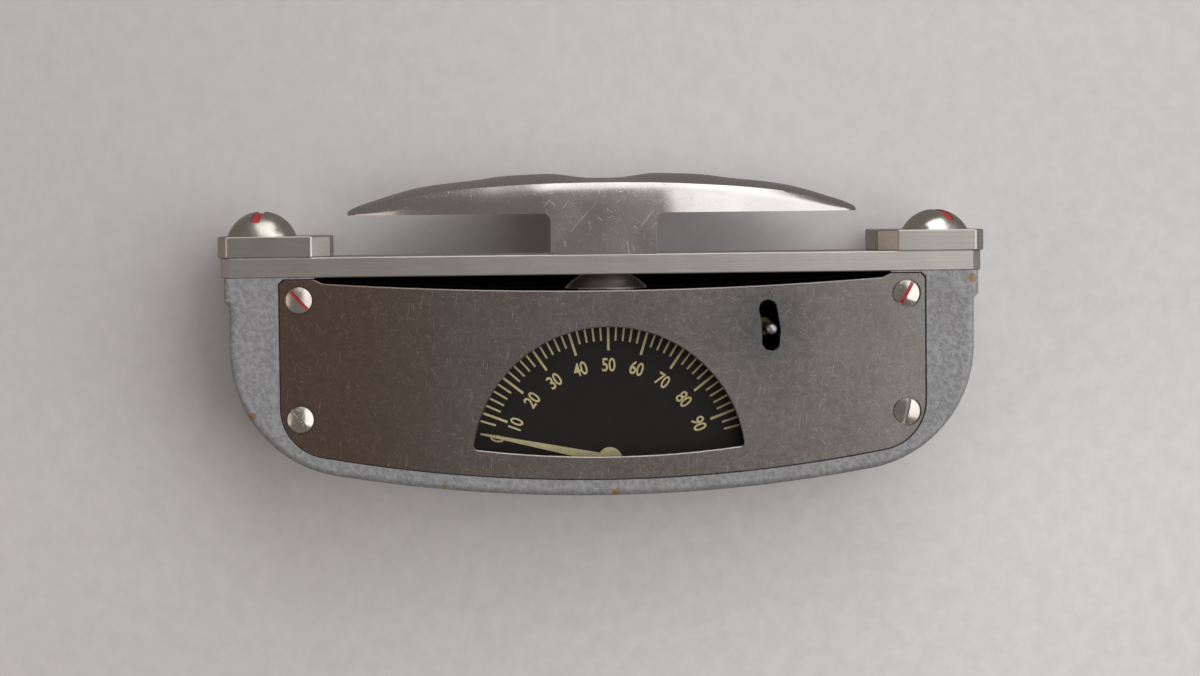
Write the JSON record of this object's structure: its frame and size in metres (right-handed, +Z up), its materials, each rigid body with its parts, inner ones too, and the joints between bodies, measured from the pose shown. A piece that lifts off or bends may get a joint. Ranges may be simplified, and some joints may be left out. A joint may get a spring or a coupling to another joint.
{
  "type": "hand dynamometer",
  "caption": "Flat-spring hand grip dynamometer: T-handle on a clamped steel bar over a D-shaped cast housing with a semicircular dial, pointer and small hold lever.",
  "frame": {"origin": "bottom centre: the lowest point of the housing's curved belly, midway between the front and back faces", "axes": "+X along the spring bar to the viewer's right, +Y to the flat back, +Z up through the handle; the dial faces -Y"},
  "size_m": [0.1608, 0.0262, 0.0677],
  "materials": {
    "hammered_paint": "light blue-grey hammered paint",
    "nickel_cover": "nickel-plated sheet, finely scratched",
    "nickel_screw": "nickel-plated screw",
    "spring_steel": "brushed along its length",
    "polished_grip": "polished and scratched",
    "clear_pane": "clear acrylic",
    "dial_black": "satin black with cream marks",
    "pointer_paint": "khaki cream paint",
    "plate_brass": "satin brass",
    "steel": "plain steel"
  },
  "bodies": {
    "frame": {"housing": "hammered_paint", "front_cover": "nickel_cover", "cover_screws": "nickel_screw", "window_pane": "clear_pane", "flat_spring": "spring_steel", "clamp_plate_left": "spring_steel", "clamp_plate_right": "spring_steel", "clamp_screw_left": "nickel_screw", "clamp_screw_right": "nickel_screw", "dial_plate": "dial_black", "dial_screws": "nickel_screw", "movement_front_plate": "plate_brass", "movement_back_plate": "plate_brass", "movement_pillars": "plate_brass", "pillar_screws": "steel", "mounting_screws": "steel", "pointer_bushes": "plate_brass", "lever_bushes": "plate_brass", "spring_post": "steel", "zero_stop_pin": "steel", "reset_stud": "steel"},
    "grip": {"grip_handle": "polished_grip", "handle_bolt": "steel", "domed_washer": "nickel_screw", "pusher_screw": "steel", "pusher_lock_nut": "steel"},
    "sector": {"sector_lever": "plate_brass", "sector_arbor": "steel", "sector_collar": "steel", "return_spring": "steel"},
    "pointer": {"pinion": "steel", "pointer_arbor": "steel", "pointer_hub": "plate_brass", "pointer": "pointer_paint", "brake_disc": "plate_brass"},
    "reset": {"reset_lever": "plate_brass", "reset_pin": "steel"}
  },
  "joints": [
    {"name": "handle_press", "type": "slide", "parent": "frame", "child": "grip", "axis": [0, 0, -1], "range_m": [0, 0.0013], "stiffness_N_per_m": 4000, "springref_m": -0.002, "deforming": ["flat_spring"]},
    {"name": "lever_turn", "type": "hinge", "parent": "frame", "child": "sector", "pos_m": [0.00805, 0, 0.03109], "axis": [0, -1, 0], "range_deg": [0, 10.65], "deforming": ["return_spring"]},
    {"name": "pointer_turn", "type": "hinge", "parent": "frame", "child": "pointer", "pos_m": [0.00105, 0, 0.0073], "axis": [0, 1, 0], "range_deg": [0, 154.5]},
    {"name": "hold_lever", "type": "hinge", "parent": "frame", "child": "reset", "pos_m": [0.01435, 0, 0.0336], "axis": [0, -1, 0], "range_deg": [-9, 13.5]}
  ],
  "couplings": [
    {"joint": "lever_turn", "follows": "handle_press", "rad_per_m": 142.86},
    {"joint": "pointer_turn", "follows": "handle_press", "rad_per_m": 2071.4}
  ]
}
